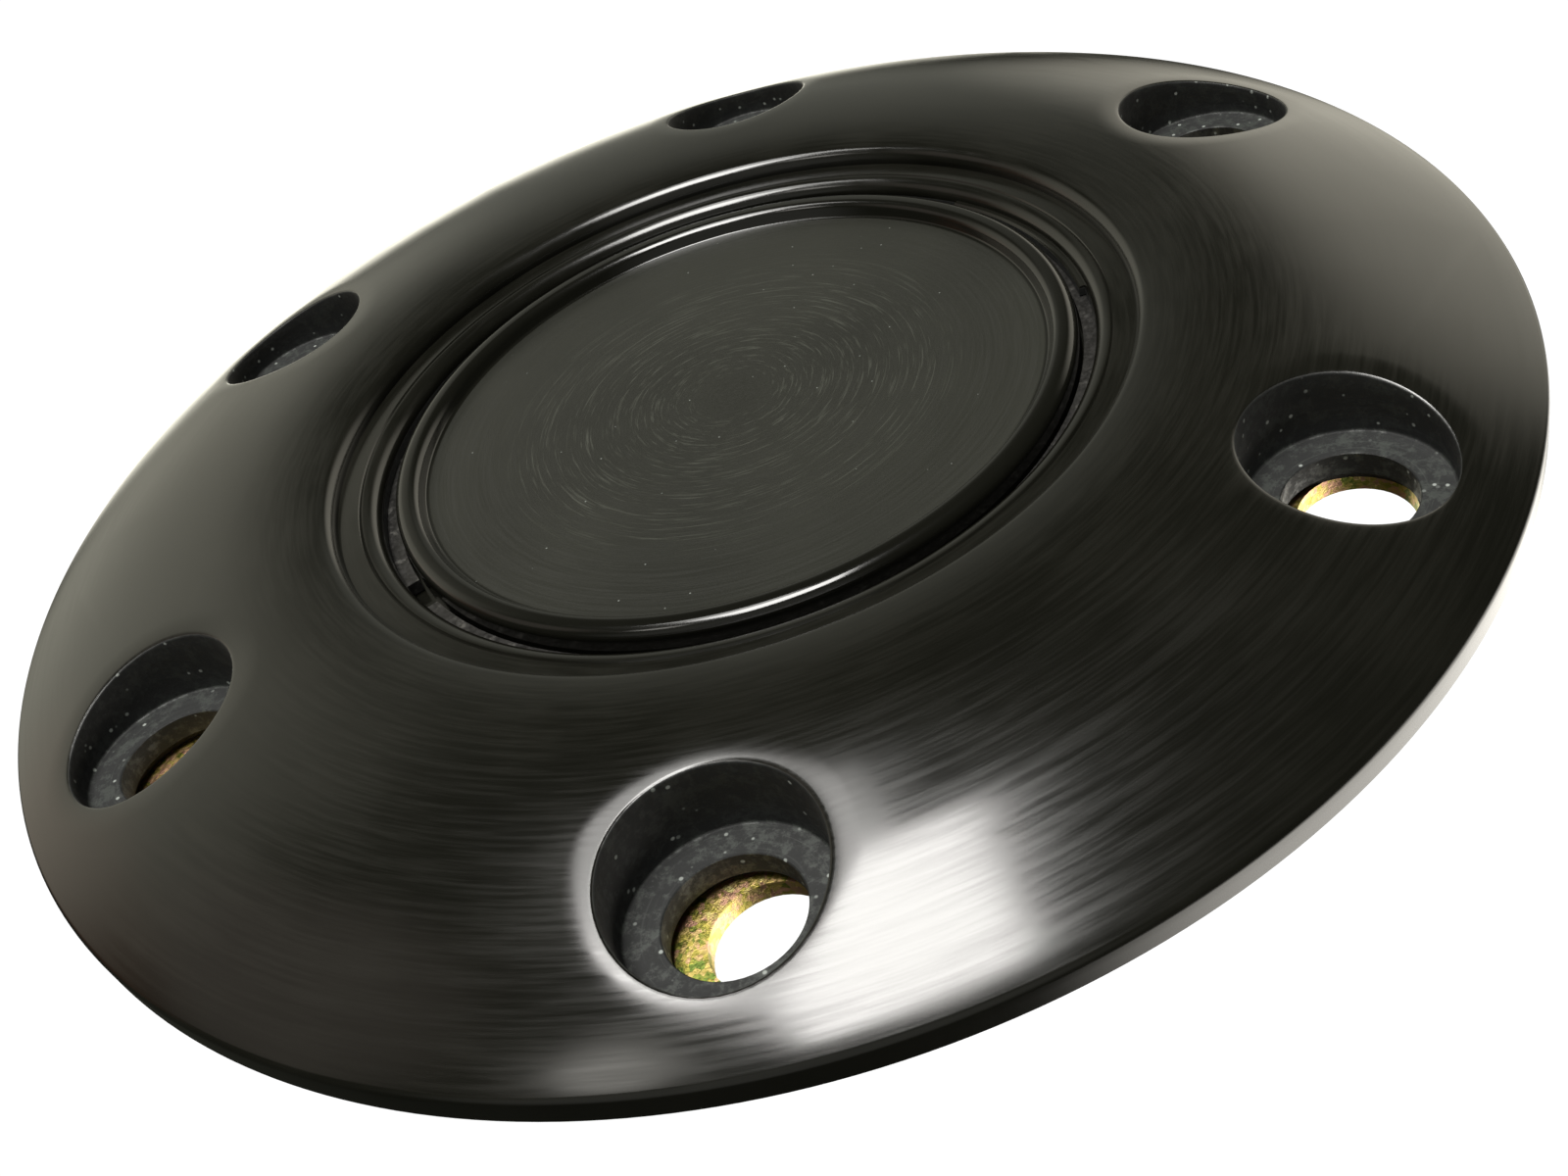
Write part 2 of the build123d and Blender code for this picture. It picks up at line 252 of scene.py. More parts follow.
def turnedPlastic():
    # the button: a turned face inside a polished rim
    material, place = newMaterial("turnedPlastic")
    cosine, sine, z, radius = aroundAxis(place)
    grooves = place.joined(radius * 6, cosine * 0.8, sine * 0.8).noise(1.0, 3.0, 0.7)
    arcs = place.joined(cosine * 2.2, sine * 2.2, radius * 6).noise(1.0, 4.0, 0.7)
    fine = place.joined(cosine * 4, sine * 4, radius * 20).noise(1.0, 2.0, 0.6)
    smudge = place.noise(0.09, 2.0, 0.4)
    stone = place.noise(9.0, 3.0, 0.7)
    face = radius.step(button["faceRadius"] + 0.1, button["faceRadius"] - 0.1)
    face = face * z.step(button["faceZ"] + 0.3, button["faceZ"] + 0.1)
    dust = dustSpecks(place, 1.6, 0.10, 0.10) * face * 0.5
    # pale arcs on the face: partly worn turning marks, partly a painted sheen of light along the turning
    # marks
    arcWearAndSheen = arcs.step(0.50, 0.64) * radius.step(1.0, 3.5)
    arcWearAndSheen = arcWearAndSheen * radius.step(15.0, 11.0) * fine.step(0.35, 0.6)
    tone = smudge * 0.6 + stone * 0.4
    base = tone.step(0.35, 0.65).blend(button["faceDark"], button["facePale"])
    base = (arcWearAndSheen * 0.75).blend(base, button["faceWornAndSheen"])
    base = face.blend(plastic["body"], base)
    base = dust.blend(base, plastic["dust"])
    faceRough = 0.34 + arcs.step(0.3, 0.7, 0.05, -0.04)
    rough = 0.14 + face * (faceRough - 0.14)
    turning = grooves * 0.4 + arcs * 0.3 + fine * 0.3
    height = turning * (0.0004 + face * 0.006) + stone * face * 0.003
    return finished(material, place, base=base, rough=rough, normal=bump(height, mm), ior=1.5)


def yellowZinc():
    # passivated zinc on the base plate, gold with pink and green patches
    material, place = newMaterial("yellowZinc")
    patches = place.noise(0.35, 4.0, 0.6)
    grain = place.noise(5.5, 3.0, 0.7)
    spangle = place.cells(3.2, "Color").part(0)
    tint = (patches * 0.55 + spangle * 0.25 + grain * 0.2).ramp(
        (0.32, (0.20, 0.28, 0.06)), (0.43, (0.50, 0.42, 0.09)), (0.50, (0.66, 0.50, 0.18)),
        (0.57, (0.66, 0.36, 0.26)), (0.65, (0.56, 0.48, 0.15)), (0.76, (0.88, 0.80, 0.42)))
    stain = place.noise(0.9, 3.0, 0.6).step(0.62, 0.75)
    base = stain.blend(tint, colour(0.20, 0.13, 0.05))
    rough = grain.step(0.3, 0.7, 0.28, 0.5) + stain * 0.2
    height = grain * 0.6 + spangle * 0.4
    return finished(material, place, base=base, rough=rough, metal=1.0, normal=bump(height, 5e-5, 0.9))


def darkSpring():
    # phosphated spring steel
    material, place = newMaterial("darkSpring")
    grain = place.noise(4.0, 3.0, 0.6)
    worn = place.noise(1.1, 3.0, 0.6).step(0.58, 0.72)
    base = grain.blend(colour(0.028, 0.027, 0.026), colour(0.06, 0.058, 0.055))
    base = worn.blend(base, colour(0.17, 0.165, 0.155))
    rough = grain.step(0.3, 0.7, 0.32, 0.5) - worn * 0.1
    return finished(material, place, base=base, rough=rough, metal=0.85, normal=bump(grain, 1.5e-5))


def platedScrew():
    material, place = newMaterial("platedScrew")
    grain = place.noise(6.0, 3.0, 0.6)
    cloud = place.noise(0.6, 3.0, 0.6)
    tint = cloud.ramp(
        (0.35, (0.42, 0.43, 0.46)), (0.5, (0.55, 0.54, 0.52)), (0.65, (0.50, 0.46, 0.36)))
    rough = grain.step(0.3, 0.7, 0.24, 0.38)
    return finished(material, place, base=tint, rough=rough, metal=1.0, normal=bump(grain, 8e-6))


def rolledBrass():
    material, place = newMaterial("rolledBrass")
    x, y, z = place.part(0), place.part(1), place.part(2)
    rolled = place.joined(x * 14, y * 1.2, z * 14).noise(1.0, 3.0, 0.6)
    tarnish = place.noise(0.4, 4.0, 0.6).step(0.5, 0.72)
    base = rolled.blend(colour(0.60, 0.39, 0.12), colour(0.70, 0.48, 0.17))
    base = tarnish.blend(base, colour(0.29, 0.16, 0.06))
    rough = rolled.step(0.3, 0.7, 0.2, 0.34) + tarnish * 0.18
    return finished(material, place, base=base, rough=rough, metal=1.0, normal=bump(rolled, 6e-6))


def contactSilver():
    material, place = newMaterial("contactSilver")
    grain = place.noise(5.0, 3.0, 0.6)
    arcMarks = place.noise(2.2, 4.0, 0.7).step(0.56, 0.68)
    base = arcMarks.blend(colour(0.74, 0.72, 0.68), colour(0.19, 0.15, 0.11))
    rough = grain.step(0.3, 0.7, 0.18, 0.3) + arcMarks * 0.25
    return finished(material, place, base=base, rough=rough, metal=1.0, normal=bump(grain, 1e-5))


def paleNylon():
    material, place = newMaterial("paleNylon")
    cloud = place.noise(0.9, 3.0, 0.5)
    fine = place.noise(7.0, 2.0, 0.5)
    base = cloud.step(0.3, 0.7).blend(colour(0.62, 0.58, 0.46), colour(0.72, 0.69, 0.58))
    rough = fine.step(0.3, 0.7, 0.42, 0.55)
    return finished(material, place, base=base, rough=rough, normal=bump(fine, 1e-5), ior=1.53)


def pressedFibre():
    # vulcanised fibre sheet, with a felted grain
    material, place = newMaterial("pressedFibre")
    x, y, z = place.part(0), place.part(1), place.part(2)
    felt = place.joined(x * 2.5, y * 2.5, z * 9).noise(1.0, 5.0, 0.65)
    strand = place.joined(x * 9, y * 2.0, z * 9).noise(1.0, 3.0, 0.6)
    base = felt.step(0.35, 0.68).blend(colour(0.012, 0.011, 0.0105), colour(0.034, 0.031, 0.028))
    rough = felt.step(0.3, 0.7, 0.62, 0.8)
    height = felt * 0.6 + strand * 0.4
    return finished(material, place, base=base, rough=rough, normal=bump(height, 4e-5), ior=1.45)


print("materials")
finishes = {
    "moulded_black": lappedPlastic(), "fibre_black": pressedFibre(), "yellow_zinc": yellowZinc(),
    "spring_steel": darkSpring(), "screw_steel": platedScrew(), "brass": rolledBrass(),
    "silver_contact": contactSilver(), "nylon": paleNylon(),
}
nodeFinish = {
    "trim_ring": finishes["moulded_black"], "horn_button": turnedPlastic(),
    "retaining_ring": finishes["spring_steel"], "insulating_gasket": finishes["fibre_black"],
    "base_plate": finishes["yellow_zinc"], "plate_screws": finishes["screw_steel"],
    "contact_plate": finishes["brass"], "contact_plate_screws": finishes["screw_steel"],
    "lock_washers": finishes["spring_steel"], "contact_points": finishes["silver_contact"],
    "contact_insulator": finishes["fibre_black"], "fixed_contact": finishes["brass"],
    "contact_rivets": finishes["brass"], "rivet_bushes": finishes["nylon"],
    "live_terminal": finishes["brass"], "earth_terminal": finishes["brass"],
    "earth_rivet": finishes["brass"],
    "return_spring_1": finishes["spring_steel"], "return_spring_2": finishes["spring_steel"],
    "return_spring_3": finishes["spring_steel"],
}
for name, material in nodeFinish.items():
    nodes[name].data.materials.clear()
    nodes[name].data.materials.append(material)

print("geometry tools")


class Group:
    # a Geometry Nodes tree with named inputs, put on an object as a modifier
    def __init__(self, name, sizes):
        self.tree = bpy.data.node_groups.new(name, "GeometryNodeTree")
        face = self.tree.interface
        face.new_socket("Geometry", in_out="INPUT", socket_type="NodeSocketGeometry")
        face.new_socket("Geometry", in_out="OUTPUT", socket_type="NodeSocketGeometry")
        for label, value in sizes.items():
            kind = "NodeSocketInt" if isinstance(value, int) else "NodeSocketFloat"
            face.new_socket(label, in_out="INPUT", socket_type=kind).default_value = value
        self.blank = Wire(self.tree)
        self.start = self.tree.nodes.new("NodeGroupInput")

    def size(self, label):
        return Wire(self.tree, self.start.outputs[label])

    def make(self, kind, inputs=None):
        return self.blank.node(kind, None, inputs)

    def finish(self, shape, material):
        solid = self.make("GeometryNodeRealizeInstances", {"Geometry": shape})
        merged = self.make("GeometryNodeMergeByDistance", {"Geometry": solid, "Distance": 1e-6})
        painted = self.make("GeometryNodeSetMaterial", {"Geometry": merged, "Material": material})
        end = self.tree.nodes.new("NodeGroupOutput")
        self.tree.links.new(painted.socket, end.inputs["Geometry"])


def repeatRound(name, material):
    # copies of the object's own mesh, turned about the axis and set out on a circle
    group = Group(name, {"Count": 6, "Circle Radius": 0.0, "First Angle": 0.0})
    count, first = group.size("Count"), group.size("First Angle")
    circle = group.make("GeometryNodeMeshCircle", {
        "Vertices": count, "Radius": group.size("Circle Radius")})
    number = group.make("GeometryNodeInputIndex")
    turn = number * (2 * math.pi) / count + first
    rotation = group.make("ShaderNodeCombineXYZ", {"Z": turn})
    placed = group.make("GeometryNodeTransform", {
        "Geometry": circle, "Rotation": group.make("ShaderNodeCombineXYZ", {"Z": first})})
    copies = group.make("GeometryNodeInstanceOnPoints", {
        "Points": placed, "Instance": group.size("Geometry"), "Rotation": rotation})
    group.finish(copies, material)
    return group


def newObject(name, points, faces):
    mesh = bpy.data.meshes.new(name)
    mesh.from_pydata([tuple(mm * part for part in point) for point in points], [], faces)
    made = bpy.data.objects.new(name, mesh)
    bpy.context.scene.collection.objects.link(made)
    return made


def baked(piece, tree, values):
    # runs the tree on the piece and leaves a plain mesh
    modifier = piece.modifiers.new("nodes", "NODES")
    modifier.node_group = tree
    for item in tree.interface.items_tree:
        if item.item_type == "SOCKET" and item.in_out == "INPUT" and item.name in values:
            modifier[item.identifier] = values[item.name]
    return flattened(piece)


def flattened(piece):
    view = bpy.context.evaluated_depsgraph_get()
    mesh = bpy.data.meshes.new_from_object(piece.evaluated_get(view))
    piece.modifiers.clear()
    old = piece.data
    piece.data = mesh
    bpy.data.meshes.remove(old)
    return piece


def smoothed(piece, angle=28):
    mesh = piece.data
    mesh.shade_smooth()
    mesh.set_sharp_from_angle(angle=math.radians(angle))
    return piece


def outward(piece):
    work = bmesh.new()
    work.from_mesh(piece.data)
    bmesh.ops.remove_doubles(work, verts=work.verts, dist=1e-6)
    bmesh.ops.recalc_face_normals(work, faces=work.faces)
    work.to_mesh(piece.data)
    work.free()
    return piece


def onCircle(radius, count, first=0.0):
    # places spaced evenly about the axis, from the first angle in degrees
    turns = [math.radians(first + 360 / count * step) for step in range(count)]
    return [(radius * math.cos(a), radius * math.sin(a)) for a in turns]


def arc(centre, size, start, end, steps):
    # points of an arc in (radius, height), angles in degrees
    made = []
    for step in range(steps + 1):
        a = math.radians(start + (end - start) * step / steps)
        made.append((centre[0] + size * math.cos(a), centre[1] + size * math.sin(a)))
    return made


print("trim ring")
trimRing = {
    "bolts": 6, "boltCircle": 35.0, "firstBolt": -90.0, "counterbore": 5.0, "throat": 3.25,
    "mouthRound": 0.16, "seatRound": 0.15, "seat": 2.9, "back": 1.6,
    "rim": 43.2, "rimTop": 3.1, "rimRound": 0.45, "crest": 27.7, "rise": 4.1,
    "lip": 23.05, "lipRound": 0.8, "floorDrop": 0.85,
    "scoreOuter": 21.85, "scoreInner": 21.65, "scoreDepth": 0.12,
    "bore": 20.75, "boreRound": 0.85, "groove": 21.5, "grooveLow": 3.9, "grooveHigh": 4.7,
    "rollDepth": 0.115, "rollReach": 1.5,  # the soft edge round each bolt hole
    "tongue": 20.4, "tongueTop": 5.3, "tongueStart": 6, "tongueSweep": 40, "tongueChamfer": 0.12,
    "slotInner": 15, "slotReach": 21.85, "slotWidth": 4.5, "slotTop": 3.65,
    "screws": 3, "screwCircle": 28.6, "screwHole": 1.25, "screwHoleTop": 5.05,
    "overlap": 0.05, "cutFrom": 1,
}
# how finely the ring is divided
ringMesh = {
    "patchInner": 28.2, "patchOuter": 41.8, "slices": 48, "ribs": 14,
    "domeIn": (27.4, 26.6, 25.8, 25.2, 24.7, 24.3), "domeOut": (42.05, 42.3),
    "stepFloor": (22.6, 22.1), "boreWall": (3.2, 2.4), "backIn": (22.5, 24.4, 26.3), "backOut": 42.5,
    "backStart": 3.6, "backShares": (1, 0.6, 0.25, 0), "throatStep": 0.6, "throatRound": 0.06,
    "seatMiddle": 4.0, "wallShares": (0.35, 0.7), "mouthLeans": (90, 67, 45, 22),
    "mouthSteps": (0, 0.12, 0.28, 0.48, 0.72, 1.0, 1.3),
    "topStart": 6.46, "topShares": (0.12, 0.3, 0.52, 0.76, 1),
}


class Dome:
    def __init__(self, sizes):
        span = sizes["rim"] - sizes["crest"]
        self.size = (sizes["rise"] ** 2 + span ** 2) / (2 * sizes["rise"])
        self.crest = sizes["crest"]
        self.low = sizes["rimTop"] + sizes["rise"] - self.size

    def height(self, radius):
        return self.low + math.sqrt(self.size ** 2 - (radius - self.crest) ** 2)

    def corner(self, wall, size):
        # the rounding between the dome and an upright wall: its centre and where it leaves the dome
        side = 1 if wall > self.crest else -1
        across = wall - side * size
        up = self.low + math.sqrt((self.size - size) ** 2 - (across - self.crest) ** 2)
        lean = math.degrees(math.atan2(up - self.low, across - self.crest))
        return (across, up), lean


dome = Dome(trimRing)


def ringInside(sizes):
    # profile from the patch inwards, over the lip and down the bore to the back
    centre, lean = dome.corner(sizes["lip"], sizes["lipRound"])
    leave = centre[0] + sizes["lipRound"] * math.cos(math.radians(lean))
    made = [(r, dome.height(r)) for r in ringMesh["domeIn"] if r > leave + 0.15]
    made += arc(centre, sizes["lipRound"], lean, 180, 12)
    floor = dome.height(sizes["lip"]) - sizes["floorDrop"]
    outer, inner = sizes["scoreOuter"], sizes["scoreInner"]
    made += [(r, floor) for r in (sizes["lip"], *ringMesh["stepFloor"], outer)]
    made += [((outer + inner) / 2, floor - sizes["scoreDepth"]), (inner, floor)]
    centre = (sizes["bore"] + sizes["boreRound"], floor - sizes["boreRound"])
    made += arc(centre, sizes["boreRound"], 90, 180, 12)
    bore, groove = sizes["bore"], sizes["groove"]
    made += [(bore, sizes["grooveHigh"]), (groove, sizes["grooveHigh"]), (groove, sizes["grooveLow"])]
    made += [(bore, height) for height in (sizes["grooveLow"], *ringMesh["boreWall"], sizes["back"])]
    made += [(r, sizes["back"]) for r in ringMesh["backIn"]]
    return made


def ringOutside(sizes):
    # profile from the patch outwards, down the rim to the back
    centre, lean = dome.corner(sizes["rim"], sizes["rimRound"])
    made = [(r, dome.height(r)) for r in ringMesh["domeOut"]]
    made += arc(centre, sizes["rimRound"], lean, 0, 8)
    made += [(sizes["rim"], ringMesh["boreWall"][-1]), (sizes["rim"], sizes["back"] + 0.1)]
    made += [(sizes["rim"] - 0.1, sizes["back"]), (ringMesh["backOut"], sizes["back"])]
    return made


def ringSector(sizes):
    # one sixth of the ring, its bolt hole on +X
    points, faces = [], []
    half = math.pi / sizes["bolts"]
    slices, ribs = ringMesh["slices"], ringMesh["ribs"]
    inner, outer = ringMesh["patchInner"], ringMesh["patchOuter"]
    angles = [-half + 2 * half * step / slices for step in range(slices + 1)]
    edge = [(outer, a) for a in angles[:-1]]
    edge += [(outer + (inner - outer) * step / ribs, half) for step in range(ribs)]
    edge += [(inner, a) for a in reversed(angles[1:])]
    edge += [(inner + (outer - inner) * step / ribs, -half) for step in range(ribs)]
    border = [(r * math.cos(a), r * math.sin(a)) for r, a in edge]
    heading = [math.atan2(y, x - sizes["boltCircle"]) for x, y in border]
    size = len(border)

    def top(x, y):
        away = math.hypot(x - sizes["boltCircle"], y) - sizes["counterbore"]
        roll = max(0.0, 1 - away / sizes["rollReach"]) ** 2 * sizes["rollDepth"]
        return dome.height(math.hypot(x, y)) - roll

    def loop(radius, height):
        # a circle round the bolt; height is a number, or a function of the place
        start = len(points)
        for a in heading:
            x, y = sizes["boltCircle"] + radius * math.cos(a), radius * math.sin(a)
            points.append((x, y, height(x, y) if callable(height) else height))
        return start

    def borderLoop(share, radius, height):
        start = len(points)
        for (bx, by), a in zip(border, heading):
            cx, cy = sizes["boltCircle"] + radius * math.cos(a), radius * math.sin(a)
            x, y = cx + (bx - cx) * share, cy + (by - cy) * share
            points.append((x, y, height(x, y) if callable(height) else height))
        return start

    def bridge(first, second):
        for step in range(size):
            after = (step + 1) % size
            faces.append((first + step, first + after, second + after, second + step))

    back, seat, throat = sizes["back"], sizes["seat"], sizes["throat"]
    wall, seatRound, mouth = sizes["counterbore"], sizes["seatRound"], sizes["mouthRound"]
    loops = [borderLoop(share, ringMesh["backStart"], back) for share in ringMesh["backShares"]]
    loops += [loop(throat, back), loop(throat, back + ringMesh["throatStep"])]
    loops += [loop(throat, seat - ringMesh["throatRound"]), loop(throat + ringMesh["throatRound"], seat)]
    loops.append(loop(ringMesh["seatMiddle"], seat))
    loops += [loop(*spot) for spot in arc((wall - seatRound, seat + seatRound), seatRound, -90, 0, 4)]
    foot = seat + seatRound
    for share in ringMesh["wallShares"]:
        loops.append(loop(wall, lambda x, y, share=share: foot + (top(x, y) - mouth - foot) * share))
    for lean in ringMesh["mouthLeans"]:
        drop = mouth * (1 - math.cos(math.radians(lean)))
        far = wall + mouth - mouth * math.sin(math.radians(lean))
        loops.append(loop(far, lambda x, y, drop=drop: top(x, y) - drop))
    loops += [loop(wall + mouth + step, top) for step in ringMesh["mouthSteps"]]
    loops += [borderLoop(share, ringMesh["topStart"], top) for share in ringMesh["topShares"]]
    for first, second in zip(loops, loops[1:]):
        bridge(first, second)

    def strip(profile, low, high):
        # turned bands between the patch's edge on top and its edge on the back
        rows = [high]
        for radius, height in profile:
            rows.append(range(len(points), len(points) + slices + 1))
            points.extend((radius * math.cos(a), radius * math.sin(a), height) for a in angles)
        rows.append(low)
        for first, second in zip(rows, rows[1:]):
            for step in range(slices):
                faces.append((first[step], first[step + 1], second[step + 1], second[step]))

    outerEdge = list(range(slices + 1))
    innerEdge = [size - ribs - step for step in range(slices + 1)]
    topLoop, backLoop = loops[-1], loops[0]
    for profile, side in ((ringOutside(sizes), outerEdge), (ringInside(sizes), innerEdge)):
        strip(profile, [backLoop + at for at in side], [topLoop + at for at in side])
    return points, faces


def cut(piece, cutters):
    # takes the cutters' shapes out of the piece
    for tool in cutters:
        outward(tool)
        modifier = piece.modifiers.new("cut", "BOOLEAN")
        modifier.operation = "DIFFERENCE"
        modifier.solver = "EXACT"
        modifier.object = tool
        flattened(piece)
        bpy.data.objects.remove(tool)
    return piece


def turnedShape(name, profile, steps, start=0.0, sweep=360.0):
    # a lathe: a profile of (radius, height) that meets the axis or, part of the way round, itself
    whole = sweep >= 360
    points, faces, rows = [], [], []
    for radius, height in profile:
        if whole and radius == 0:
            rows.append([len(points)] * steps)
            points.append((0, 0, height))
            continue
        rows.append([len(points) + step for step in range(steps if whole else steps + 1)])
        for step in range(steps if whole else steps + 1):
            a = math.radians(start + sweep * step / steps)
            points.append((radius * math.cos(a), radius * math.sin(a), height))
    pairs = list(zip(rows, rows[1:])) + ([] if whole else [(rows[-1], rows[0])])
    for first, second in pairs:
        for step in range(steps):
            after = (step + 1) % steps if whole else step + 1
            face = list(dict.fromkeys((first[step], first[after], second[after], second[step])))
            if len(face) > 2:
                faces.append(face)
    if not whole:
        faces.append([row[0] for row in rows])
        faces.append([row[-1] for row in reversed(rows)])
    return outward(newObject(name, points, faces))


def block(name, low, high):
    (x0, y0, z0), (x1, y1, z1) = low, high
    points = [(x, y, z) for x in (x0, x1) for y in (y0, y1) for z in (z0, z1)]
    faces = [(0, 1, 3, 2), (4, 6, 7, 5), (0, 4, 5, 1), (2, 3, 7, 6), (0, 2, 6, 4), (1, 5, 7, 3)]
    return outward(newObject(name, points, faces))


def lug(name, side, inner, reach, width, low, top):
    # a block across the middle, its far end curved about the axis
    half, count = width / 2, 12
    plan = [(inner, -half), (inner, half)]
    for step in range(count + 1):
        y = half - width * step / count
        plan.append((math.sqrt(reach ** 2 - y ** 2), y))
    points = [(side * x, y, z) for z in (low, top) for x, y in plan]
    size = len(plan)
    faces = [list(range(size)), list(range(size, 2 * size))]
    faces += [(at, (at + 1) % size, size + (at + 1) % size, size + at) for at in range(size)]
    return outward(newObject(name, points, faces))


def moved(piece, x, y):
    piece.data.transform(Matrix.Translation((x * mm, y * mm, 0)))
    return piece


def joined(name, pieces):
    # one object from several closed shapes
    work = bmesh.new()
    for piece in pieces:
        work.from_mesh(piece.data)
    mesh = bpy.data.meshes.new(name)
    work.to_mesh(mesh)
    work.free()
    for piece in pieces:
        bpy.data.objects.remove(piece)
    made = bpy.data.objects.new(name, mesh)
    bpy.context.scene.collection.objects.link(made)
    return made


def dressed(piece, material):
    # one finish all over
    piece.data.materials.clear()
    piece.data.materials.append(material)
    for face in piece.data.polygons:
        face.material_index = 0
    return piece


def makeRing(sizes, material):
    sector = newObject("ringSector", *ringSector(sizes))
    group = repeatRound("sixSectors", material)
    first = math.radians(sizes["firstBolt"])
    values = {"Count": sizes["bolts"], "Circle Radius": 0.0, "First Angle": first}
    ring = outward(baked(sector, group.tree, values))
    low, slotTop = sizes["cutFrom"], sizes["slotTop"]
    cutters = []
    for side in (-1, 1):
        slot = (sizes["slotInner"], sizes["slotReach"], sizes["slotWidth"], low, slotTop)
        cutters.append(lug("slot", side, *slot))
    wall, end = sizes["screwHole"], sizes["screwHoleTop"]
    for x, y in onCircle(sizes["screwCircle"], sizes["screws"]):
        hole = turnedShape("hole", [(0, low), (wall, low), (wall, end), (0, end)], 24)
        cutters.append(moved(hole, x, y))
    cut(ring, cutters)
    near, far, chamfer = sizes["tongue"], sizes["bore"] + sizes["overlap"], sizes["tongueChamfer"]
    low, high = sizes["grooveHigh"], sizes["tongueTop"]
    profile = [(near, low), (far, low), (far, high), (near + chamfer, high), (near, high - chamfer)]
    tongue = turnedShape("tongue", profile, 24, sizes["tongueStart"], sizes["tongueSweep"])
    return smoothed(dressed(joined("trimRing", [ring, tongue]), material))


ringPiece = makeRing(trimRing, finishes["moulded_black"])
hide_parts("trim_ring")
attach(ringPiece, "housing")

print("horn button")
hornButton = {
    "rim": 19.85, "rimTop": 6.0, "rimInner": 18.5, "rimRound": 0.6,
    "face": 18.2, "faceZ": 5.2, "faceRound": 0.15, "faceRings": (0.5, 3, 6, 9, 12, 15, 17),
    "shoulder": 20.6, "shoulderZ": 3.85, "back": 1.2, "skirt": 17.6, "faceBack": 3.4, "wallZ": 4.6,
    "bosses": 3, "firstBoss": 90.0, "bossCircle": 13.5,
    "boss": 2.3, "bossHole": 1.25, "bossHoleTop": 3.2, "overlap": 0.05,
    "lugInner": 20.2, "lugReach": 21.6, "lugWidth": 4.0, "lugHeight": 2.2, "steps": 180,
}


def filletBetween(before, corner, after, size, steps):
    # rounds one corner of a profile
    c, b, a = Vector(corner), Vector(before), Vector(after)
    toBefore, toAfter = (b - c).normalized(), (a - c).normalized()
    half = toBefore.angle(toAfter) / 2
    reach = size / math.tan(half)
    middle = c + (toBefore + toAfter).normalized() * (size / math.sin(half))
    first, last = c + toBefore * reach - middle, c + toAfter * reach - middle
    made = []
    for step in range(steps + 1):
        way = first.slerp(last, step / steps)
        made.append(tuple(middle + way.normalized() * size))
    return made


def makeButton(sizes, material):
    rim, inner, face = sizes["rim"], sizes["rimInner"], sizes["face"]
    top, faceZ, back = sizes["rimTop"], sizes["faceZ"], sizes["back"]
    profile = [(0, faceZ)] + [(r, faceZ) for r in sizes["faceRings"]]
    profile += filletBetween((15, faceZ), (face, faceZ), (inner, top), sizes["faceRound"], 4)
    profile += filletBetween((face, faceZ), (inner, top), (rim, top), sizes["rimRound"], 10)
    profile += filletBetween((inner, top), (rim, top), (rim, 0), sizes["rimRound"], 10)
    profile += [(rim, sizes["wallZ"]), (rim, sizes["shoulderZ"]), (sizes["shoulder"], sizes["shoulderZ"])]
    profile += [(sizes["shoulder"], back), (sizes["skirt"], back)]
    profile += [(sizes["skirt"], sizes["faceBack"]), (0, sizes["faceBack"])]
    shapes = [turnedShape("hornCap", profile, sizes["steps"])]
    for side in (-1, 1):
        ends = (back, back + sizes["lugHeight"])
        shapes.append(lug("lug", side, sizes["lugInner"], sizes["lugReach"], sizes["lugWidth"], *ends))
    wall, hole, end = sizes["boss"], sizes["bossHole"], sizes["faceBack"] + sizes["overlap"]
    profile = [(hole, back), (wall, back), (wall, end), (0, end)]
    profile += [(0, sizes["bossHoleTop"]), (hole, sizes["bossHoleTop"]), (hole, back)]
    for x, y in onCircle(sizes["bossCircle"], sizes["bosses"], sizes["firstBoss"]):
        shapes.append(moved(turnedShape("boss", profile, 32), x, y))
    return smoothed(dressed(joined("hornButton", shapes), material))


buttonPiece = makeButton(hornButton, nodeFinish["horn_button"])
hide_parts("horn_button")
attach(buttonPiece, "button")

print("return springs")
# these names are the tree's own inputs
returnSprings = {
    "Count": 3, "Circle Radius": 14.8 * mm, "First Angle": math.radians(30),
    "Coil Radius": 2.3 * mm, "Wire Radius": 0.3 * mm, "Turns": 5.0, "Height": 5.7 * mm,
    "Base": -5.65 * mm,
}


def makeSprings(sizes, material):
    group = Group("threeSprings", sizes)
    coil = group.make("GeometryNodeCurveSpiral", {
        "Resolution": 40, "Rotations": group.size("Turns"), "Start Radius": group.size("Coil Radius"),
        "End Radius": group.size("Coil Radius"), "Height": group.size("Height"), "Reverse": True})
    wire = group.make("GeometryNodeCurvePrimitiveCircle", {
        "Resolution": 12, "Radius": group.size("Wire Radius")})
    spring = group.make("GeometryNodeCurveToMesh", {
        "Curve": coil, "Profile Curve": wire, "Fill Caps": True})
    low = group.make("ShaderNodeCombineXYZ", {"Z": group.size("Base")})
    spring = group.make("GeometryNodeTransform", {"Geometry": spring, "Translation": low})
    circle = group.make("GeometryNodeMeshCircle", {
        "Vertices": group.size("Count"), "Radius": group.size("Circle Radius")})
    turn = group.make("ShaderNodeCombineXYZ", {"Z": group.size("First Angle")})
    placed = group.make("GeometryNodeTransform", {"Geometry": circle, "Rotation": turn})
    copies = group.make("GeometryNodeInstanceOnPoints", {"Points": placed, "Instance": spring})
    group.finish(copies, material)
    springs = newObject("returnSprings", [(0, 0, 0)], [])
    return smoothed(dressed(outward(baked(springs, group.tree, sizes)), material), 60)


springPiece = makeSprings(returnSprings, finishes["spring_steel"])
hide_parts("return_spring_1", "return_spring_2", "return_spring_3")
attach(springPiece, "housing")
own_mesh(springPiece)

